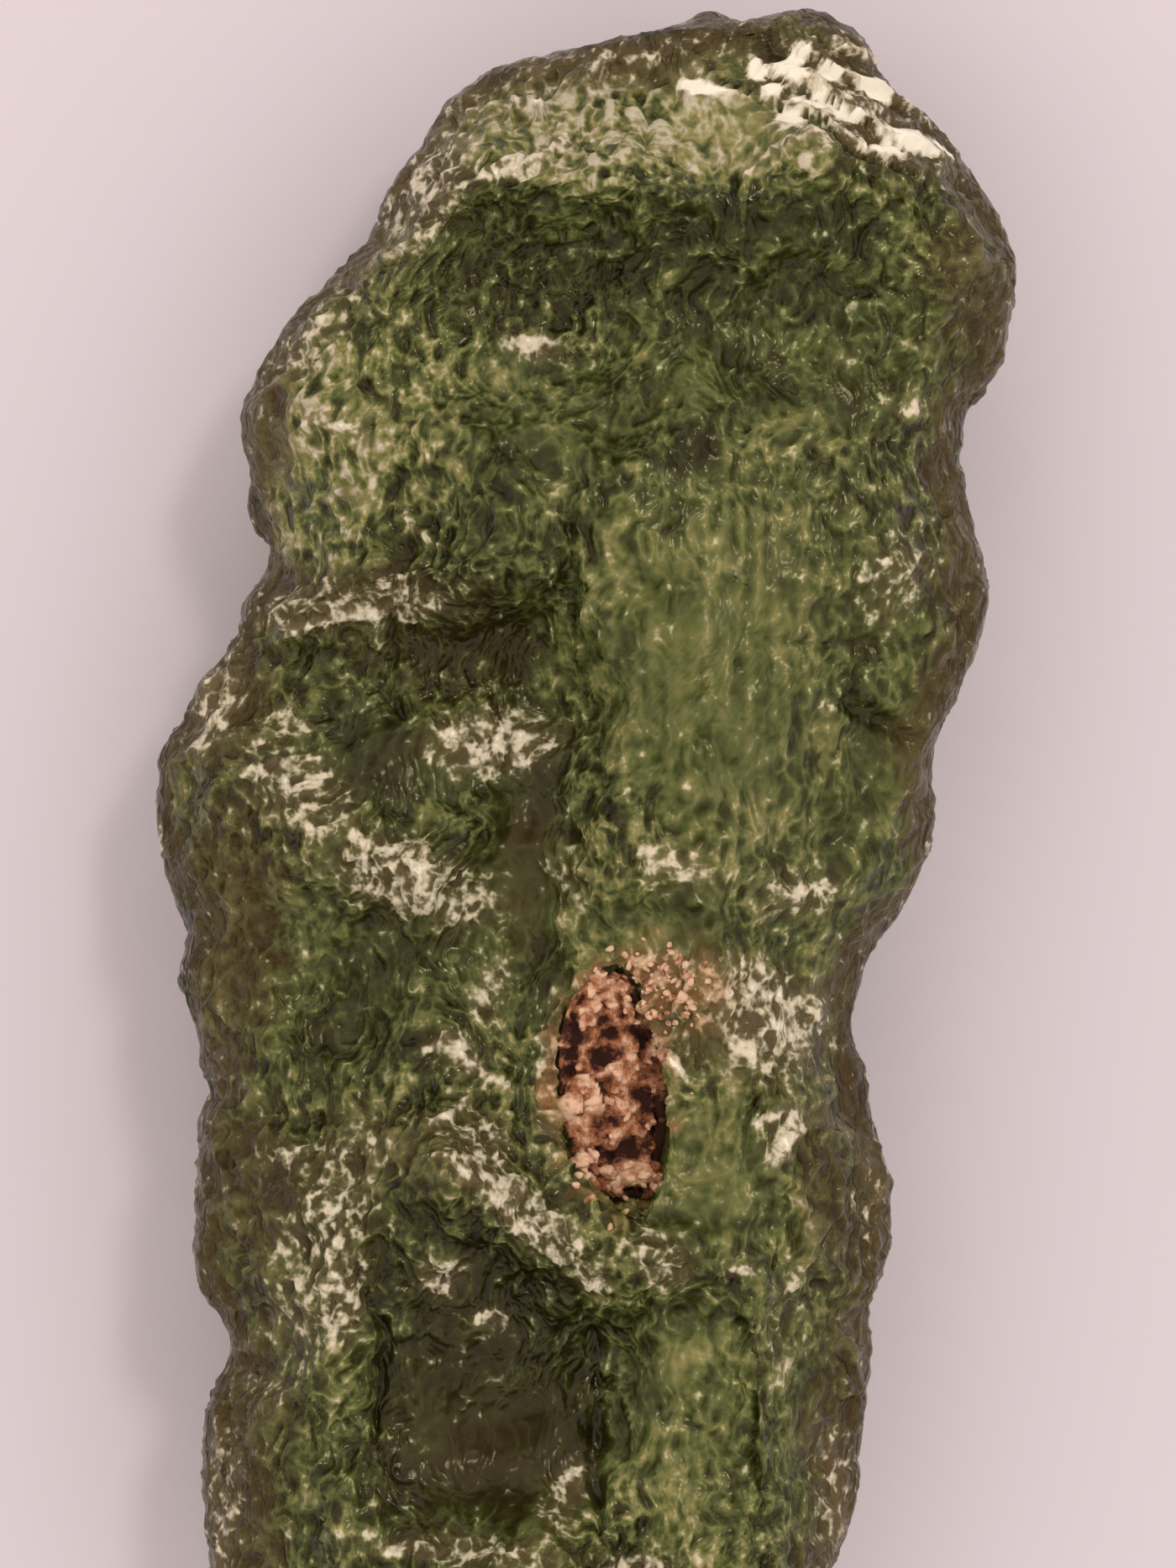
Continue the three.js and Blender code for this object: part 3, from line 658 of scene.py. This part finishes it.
def etch_stone(piece, settings):
    """Moves the stone's vertices along their normals, and notes on each how its surface is finished."""
    noise.seed_set(NOISE_SEED)
    mesh = piece.data
    normals = [v.normal.copy() for v in mesh.vertices]
    notes = {name: [] for name in ("frost", "skin", "stain", "tone_and_shade", "rough")}
    flow = []
    pit_x, pit_y = [(a + b) / 2 / MM for a, b in zip(SOIL_LOW[:2], SOIL_HIGH[:2])]
    margin = outline_margin(mesh)
    for vertex, normal in zip(mesh.vertices, normals):
        place = vertex.co.copy()
        x, y = place.x / MM, place.y / MM
        inside = margin(x, y)
        front = smooth_step(normal.z, 0.05, 0.45)

        # Noises over 2.2, 1.1 and 0.45 mm bend every pattern, so that no patch keeps its oval shape.
        slow = noise.noise_vector(place / (2.2 * MM))
        wander = noise.noise_vector(place / (1.1 * MM))
        near = noise.noise_vector(place / (0.45 * MM))
        sway_x, sway_y = x + 0.3 * slow.y + 0.3 * wander.y, y + 0.3 * slow.z + 0.3 * wander.z
        bent = place + wander * 0.3 * MM + near * 0.17 * MM
        flow += (bent.x, bent.y * 0.5, bent.z)

        calm, patches, shade, lines, streak, brown = 0.0, 0.0, 0.0, 0.0, 0.0, 0.0
        if front > 0:
            calm = front * most(CALM_PATCHES, sway_x, sway_y)
            patches = front * most(FROST_PATCHES, x + 0.06 * near.x, y + 0.06 * near.y)
            shade = front * sum(p[5] * patch_weight(p, sway_x, sway_y) for p in TONE_LIGHT_AND_SHADE_PATCHES.values())
            streak = front * striations(x, y)
            lines = front * front_relief(x, y) + streak
            brown = front * most(SKIN_PATCHES, sway_x, sway_y)
            calm = max(calm, 1.25 * smooth_step(patches, 0.95, 1.3))  # a glint is flat
        rough = (0.86 + 0.3 * slow.z + 0.2 * min(1.0, patches)) * (1 - 0.82 * min(1.0, calm))

        # The relief is lower at the outline, whose shape the solid already has.
        etched = place + wander * 0.35 * MM
        bowl = cups(etched, settings.cup_spacing) * (1 - 0.75 * calm)
        string = strings(etched + near * 0.22 * MM, settings.groove_spacing) * (1 - 0.9 * calm)
        move = settings.cup_depth * bowl + settings.groove_depth * 0.5 * string + lines * MM
        move *= 0.5 + 0.5 * smooth_step(inside, 0.0, 0.5)
        if patches < PAINTED_GLINT:
            move += FROST_CUP_DEPTH * patches * cups(place, FROST_CUP_SPACING * MM) * MM
        else:
            move += GLINT_RISE * patches * MM
        vertex.co = place + normal * move
        vertex.co.z = max(0.0, vertex.co.z)

        # Crests are paler and hold the frost, and the back has some frost of its own. The paleness of the
        # crests and the dark of the bowls and cracks are partly the glass's own colour and partly painted
        # light and shade.
        relief = 0.9 * bowl + 0.45 * string + 4.0 * lines
        cover = patches + smooth_step(slow.x + 0.5 * wander.x, 0.2, 0.8) * 0.8 * (1 - front)
        cover += max(0.0, lines) * 5.0
        # Above the glint level the cover keeps the patch's strength, which the material paints white as a
        # glint.
        if patches < PAINTED_GLINT:
            cover = min(0.98, cover * (0.85 + 0.3 * relief) + 0.08 * (1 - front))
        notes["frost"].append(cover)
        # Lighter and darker glass from the patches and the relief, partly the glass's own colour and partly
        # painted light and shade, with the raised flow lines painted paler.
        notes["tone_and_shade"].append(0.46 + 0.4 * (shade + 0.4 * wander.y) + 0.22 * relief + 2.2 * streak)
        notes["rough"].append(rough)

        # Skin browns a ragged band along the outline, the brown patches, and parts of the back. Where the
        # band is strongest, at the very outline, the material darkens it to a painted dark line of shade at
        # the edge.
        edge = 0.6 - 0.6 * smooth_step(inside + 0.5 * wander.z + 0.25 * slow.x, 0.25, 1.1)
        edge += 0.3 - 0.3 * smooth_step(inside, 0.0, 0.35)
        edge *= 0.3 + 0.3 * slow.y + 0.7 * smooth_step(normal.z + 0.4 * slow.z, -0.3, 0.3)
        notes["skin"].append(max(edge, 0.55 * brown, 0.5 * smooth_step(slow.y, 0.1, 0.6) * (1 - front)))

        ring = math.hypot((x - pit_x) / CLAY_RING[0], (y - pit_y) / CLAY_RING[1]) + 0.3 * near.z
        clay = most(CLAY_PATCHES, x + 0.3 * near.x, y + 0.3 * near.y)
        stain = max(1 - smooth_step(ring, 0.9, 1.1), clay)
        notes["stain"].append(front * stain * (0.65 + 0.8 * near.x))
    for name, values in notes.items():
        write_attribute(mesh, name, values)
    write_attribute(mesh, "flow", flow, kind="FLOAT_VECTOR")
    mesh.update()


def crumble_soil(piece):
    """Roughens the soil's surface into crumbs, and notes how far each point stands up."""
    noise.seed_set(NOISE_SEED)
    mesh = piece.data
    normals = [v.normal.copy() for v in mesh.vertices]
    rise = []
    for vertex, normal in zip(mesh.vertices, normals):
        place = vertex.co.copy()
        bent = place + noise.noise_vector(place / (0.5 * MM)) * 0.16 * MM
        lumps = 0.3 - 2.2 * abs(noise.noise(bent / (0.5 * MM))) + 0.5 * noise.noise(place / (0.15 * MM))
        # Here and there the clay has dried into rounded lumps instead of a net of ridges.
        lumps = -lumps if noise.noise(place / (1.4 * MM)) > 0.1 else lumps
        lumps -= 1.3 * most(SOIL_CREVICES, place.x / MM, place.y / MM)
        lumps = max(-1.3, min(0.9, lumps))
        top = smooth_step(normal.z, -0.2, 0.5)
        vertex.co = place + normal * (top * 0.2 * MM * lumps + 0.05 * MM)
        # The height of each point sets its colour in the material: painted shade in the low crevices, pale on
        # the high lumps.
        rise.append(0.52 + 0.42 * lumps)
    write_attribute(mesh, "rise", rise)
    mesh.update()


def add_grain(work, draw, centre, size, shade):
    """Adds a small angular grain of the given radius, and notes how light it is."""
    layer = work.verts.layers.float["rise"]
    salt = Vector((draw.random(), draw.random(), draw.random())) * 50
    stretch = Matrix.Diagonal((draw.uniform(0.6, 1.5), draw.uniform(0.6, 1.1), 0.7))
    turn = Matrix.Rotation(draw.uniform(0, math.tau), 3, "Z")
    turn = turn @ Matrix.Rotation(draw.uniform(-0.6, 0.6), 3, "X")
    for vertex in bmesh.ops.create_icosphere(work, subdivisions=2, radius=size)["verts"]:
        lump = 1 + 0.7 * noise.noise(vertex.co / size * 0.9 + salt)
        vertex.co = centre + turn @ (stretch @ (vertex.co * lump))
        vertex[layer] = shade


def scatter_grains(piece, stone, settings):
    """Joins sand grains to the top of the soil, and loose ones to the glass round the pit, where most
    lie above its right side."""
    draw = random.Random(7)
    tops = [f for f in piece.data.polygons if f.normal.z > 0.35]
    weights = [f.area for f in tops]
    levels = [value.value for value in piece.data.attributes["rise"].data]
    work = bmesh.new()
    work.from_mesh(piece.data)
    for face in draw.choices(tops, weights, k=settings.grains):
        level = levels[face.vertices[0]]
        if level < 0.4:
            continue  # no grain lies down in a crevice
        size = settings.grain_size * draw.uniform(0.5, 1.4) / 2
        add_grain(work, draw, face.center - face.normal * size * 0.1, size, level + draw.uniform(-0.2, 0.3))

    middle = (Vector(SOIL_LOW) + Vector(SOIL_HIGH)) / 2
    reach = (Vector(SOIL_HIGH) - Vector(SOIL_LOW)) / 2
    near = [f.vertices for f in stone.data.polygons if (f.center.xy - middle.xy).length < 5 * MM]
    glass = BVHTree.FromPolygons([v.co for v in stone.data.vertices], near)
    for _ in range(settings.loose_grains):
        if draw.random() < SPILT_SAND_SHARE:
            x = middle.x + draw.gauss(SPILT_SAND[0], SPILT_SAND_SPREAD[0]) * MM
            y = middle.y + draw.gauss(SPILT_SAND[1], SPILT_SAND_SPREAD[1]) * MM
        else:
            angle, share = draw.uniform(0, math.tau), draw.gauss(1.0, 0.07)
            x = middle.x + reach.x * share * math.cos(angle)
            y = middle.y + reach.y * share * math.sin(angle)
        place, normal, _, _ = glass.ray_cast(Vector((x, y, STONE_TOP * 2)), Vector((0, 0, -1)))
        if place is None or place.z < middle.z:
            continue  # it would lie under the soil
        size = settings.grain_size * draw.uniform(0.35, 0.9) / 2
        add_grain(work, draw, place + normal * size * 0.2, size, draw.uniform(0.5, 1.0))
    for face in work.faces:
        face.smooth = True
    work.to_mesh(piece.data)
    work.free()


class OBJECT_OT_moldavite_stone(bpy.types.Operator):
    """Build the etched glass stone"""

    bl_idname = "object.moldavite_stone"
    bl_label = "Stone"

    def execute(self, context):
        settings = context.scene.moldavite_stone
        piece = fine_copy(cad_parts["moldavite"], "etched_stone", cuts=4, rounds=6)
        etch_stone(piece, settings)
        piece.data.materials.append(glass_material(settings))
        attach(piece, "root")
        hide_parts("moldavite")
        return {"FINISHED"}


class OBJECT_OT_moldavite_soil(bpy.types.Operator):
    """Build the soil packed in the stone's pit"""

    bl_idname = "object.moldavite_soil"
    bl_label = "Soil"

    def execute(self, context):
        settings = context.scene.moldavite_soil
        piece = fine_copy(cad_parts["pit_soil"], "packed_soil", cuts=5, rounds=6)
        crumble_soil(piece)
        scatter_grains(piece, bpy.data.objects["etched_stone"], settings)
        piece.data.materials.append(soil_material(settings))
        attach(piece, "root")
        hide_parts("pit_soil")
        return {"FINISHED"}


class OBJECT_OT_moldavite_stage(bpy.types.Operator):
    """Build the floor, the light and the camera"""

    bl_idname = "object.moldavite_stage"
    bl_label = "Stage"

    def execute(self, context):
        settings = context.scene.moldavite_stage
        make_floor(settings)
        make_light(context.scene, settings)
        make_camera(context.scene)
        context.scene.view_settings.view_transform = "Standard"
        cycles = context.scene.cycles
        cycles.max_bounces = 8
        cycles.transmission_bounces = 7
        # Light that is bent through the rough glass stays free of bright specks.
        cycles.blur_glossy = 0.3
        cycles.sample_clamp_indirect = 6.0
        return {"FINISHED"}


def make_floor(settings):
    """A sheet of pale paper, a hair below the stone."""
    mesh = bpy.data.meshes.new("floor")
    work = bmesh.new()
    bmesh.ops.create_grid(work, x_segments=1, y_segments=1, size=0.6)
    bmesh.ops.translate(work, verts=work.verts, vec=(0, 0, -0.01 * MM))
    work.to_mesh(mesh)
    work.free()
    floor = bpy.data.objects.new("floor", mesh)
    bpy.context.scene.collection.objects.link(floor)
    material, tree = new_material("matte_paper")
    shader = node(
        tree, "ShaderNodeBsdfPrincipled",
        {"Base Color": opaque(settings.floor), "Roughness": 0.9, "Specular IOR Level": 0.1},
    )
    node(tree, "ShaderNodeOutputMaterial", {"Surface": shader.outputs["BSDF"]})
    mesh.materials.append(material)


def make_light(scene, settings):
    """Soft light that is strongest from half-way up the sky, and a small key light at the upper right
    that the crests glint in."""
    world = bpy.data.worlds.new("soft_light")
    world.use_nodes = True
    tree = world.node_tree
    tree.nodes.clear()
    direction = node(tree, "ShaderNodeTexCoord").outputs["Generated"]
    height = node(tree, "ShaderNodeSeparateXYZ", {0: direction}).outputs["Z"]
    colour = colour_ramp(tree, height, (
        (0.1, settings.low_sky), (0.4, settings.sky), (0.85, settings.sky), (1.0, settings.top_sky)
    ))
    background = node(tree, "ShaderNodeBackground", {"Color": colour, "Strength": settings.sky_strength})
    node(tree, "ShaderNodeOutputWorld", {"Surface": background.outputs["Background"]})
    # So even a sky needs no map of its bright places, and renders sooner without one.
    world.cycles.sampling_method = "NONE"
    scene.world = world

    light = bpy.data.lights.new("key", "AREA")
    light.shape = "DISK"
    light.size = settings.key_size
    light.energy = settings.key_strength
    light.color = settings.sky
    holder = bpy.data.objects.new("key", light)
    holder.location = KEY_PLACE
    holder.rotation_euler = (-holder.location).to_track_quat("-Z", "Y").to_euler()
    scene.collection.objects.link(holder)


def make_camera(scene):
    """A long lens straight above the stone, framed as the photograph is."""
    width, height = PHOTO_PIXELS
    data = bpy.data.cameras.new("camera")
    data.sensor_width = 36.0
    data.lens = data.sensor_width * CAMERA_HEIGHT / (height / PIXELS_PER_MM * MM)
    data.clip_start = 0.001
    camera = bpy.data.objects.new("camera", data)
    x = (width / 2 - PHOTO_ORIGIN[0]) / PIXELS_PER_MM
    y = (PHOTO_ORIGIN[1] - height / 2) / PIXELS_PER_MM
    camera.location = (x * MM, y * MM, CAMERA_HEIGHT + RIM_LEVEL * MM)
    scene.collection.objects.link(camera)
    scene.camera = camera


class VIEW3D_PT_moldavite(bpy.types.Panel):
    """Sizes and colours of the stone, and a button for each piece"""

    bl_label = "Moldavite"
    bl_space_type = "VIEW_3D"
    bl_region_type = "UI"
    bl_category = "Moldavite"

    def draw(self, context):
        for group, operator in (
            (context.scene.moldavite_stone, "object.moldavite_stone"),
            (context.scene.moldavite_soil, "object.moldavite_soil"),
            (context.scene.moldavite_stage, "object.moldavite_stage"),
        ):
            box = self.layout.box()
            for name in group.__annotations__:
                box.prop(group, name)
            box.operator(operator)


CLASSES = (
    MoldaviteStone,
    MoldaviteSoil,
    MoldaviteStage,
    OBJECT_OT_moldavite_stone,
    OBJECT_OT_moldavite_soil,
    OBJECT_OT_moldavite_stage,
    VIEW3D_PT_moldavite,
)


def register():
    for made in CLASSES:
        bpy.utils.register_class(made)
    bpy.types.Scene.moldavite_stone = PointerProperty(type=MoldaviteStone)
    bpy.types.Scene.moldavite_soil = PointerProperty(type=MoldaviteSoil)
    bpy.types.Scene.moldavite_stage = PointerProperty(type=MoldaviteStage)


def unregister():
    del bpy.types.Scene.moldavite_stage
    del bpy.types.Scene.moldavite_soil
    del bpy.types.Scene.moldavite_stone
    for made in reversed(CLASSES):
        bpy.utils.unregister_class(made)


def main():
    register()
    bpy.ops.object.moldavite_stage()
    bpy.ops.object.moldavite_stone()
    bpy.ops.object.moldavite_soil()


if __name__ == "__main__":
    main()
